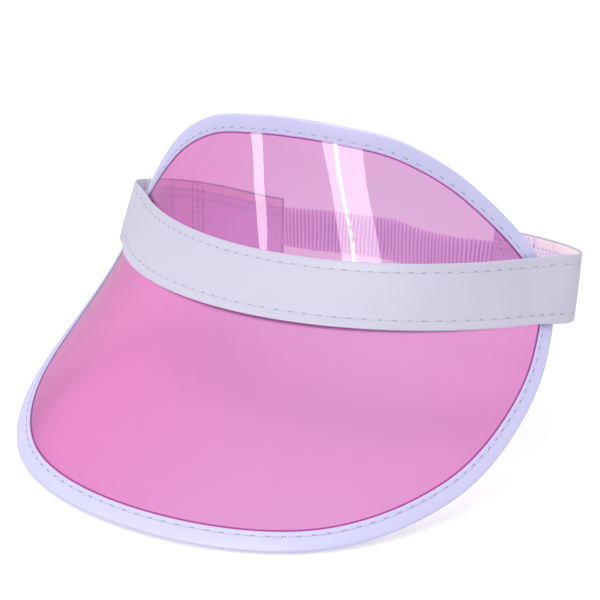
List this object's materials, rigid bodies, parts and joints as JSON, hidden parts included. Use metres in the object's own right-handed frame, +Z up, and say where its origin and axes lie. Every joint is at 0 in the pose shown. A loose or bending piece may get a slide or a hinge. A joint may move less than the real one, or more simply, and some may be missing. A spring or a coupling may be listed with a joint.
{
  "type": "sun visor",
  "caption": "Transparent pink sun visor: clear curved brim and crown in one sheet, bound edge, white vinyl headband and a gathered elastic back strap.",
  "frame": {"origin": "centre of the head opening, halfway up the headband, where the wearer's head holds the visor", "axes": "+Z up along the wearer's head, -Y the way the wearer looks (towards the brim), +X the wearer's left. Names in this row say left and right as seen from the front, so left_ pieces are at -X"},
  "size_m": [0.2438, 0.2013, 0.1359],
  "materials": {
    "clear_pvc": "clear, glossy, tinted pink",
    "binding_tape": "smooth folded tape, pale lavender",
    "white_vinyl": "satin vinyl, cool white",
    "lining": "brushed lining, pale salmon pink",
    "shirred_fabric": "gathered satin-like fabric",
    "rubber": "matt rubber elastic",
    "thread": "spun polyester thread"
  },
  "bodies": {
    "front": {"visor_sheet": "clear_pvc", "edge_binding": "binding_tape", "binding_needle_thread": "thread", "binding_bobbin_thread": "thread", "headband_cover": "white_vinyl", "sweatband": "lining", "band_bottom_needle_thread": "thread", "band_bottom_bobbin_thread": "thread", "band_top_needle_thread": "thread", "band_top_bobbin_thread": "thread"},
    "left_strap": {"left_strap": "white_vinyl", "left_strap_facing": "lining", "left_overlock_thread": "thread", "left_seam_thread": "thread", "left_anchor_thread": "thread"},
    "right_strap": {"right_strap": "white_vinyl", "right_strap_facing": "lining", "right_overlock_thread": "thread", "right_seam_thread": "thread", "right_anchor_thread": "thread"},
    "elastic": {"elastic_sleeve": "shirred_fabric", "elastic_rubber": "rubber"}
  },
  "joints": [
    {"name": "left_strap_swing", "type": "hinge", "parent": "front", "child": "left_strap", "pos_m": [-0.1049, 0.0383, 0], "axis": [0, 0, 1], "range_deg": [0, 25], "stiffness_Nm_per_rad": 0.4},
    {"name": "right_strap_swing", "type": "hinge", "parent": "front", "child": "right_strap", "pos_m": [0.1049, 0.0383, 0], "axis": [0, 0, 1], "range_deg": [-34, 0]},
    {"name": "elastic_stretch", "type": "hinge", "parent": "left_strap", "child": "elastic", "pos_m": [0.01671, 0.01134, 0], "axis": [0, 0, 1], "range_deg": [-59, 0], "deforming": ["elastic_sleeve", "elastic_rubber"]}
  ],
  "couplings": [
    {"joint": "right_strap_swing", "follows": "left_strap_swing", "ratio": -1.36},
    {"joint": "elastic_stretch", "follows": "left_strap_swing", "ratio": -2.36}
  ]
}
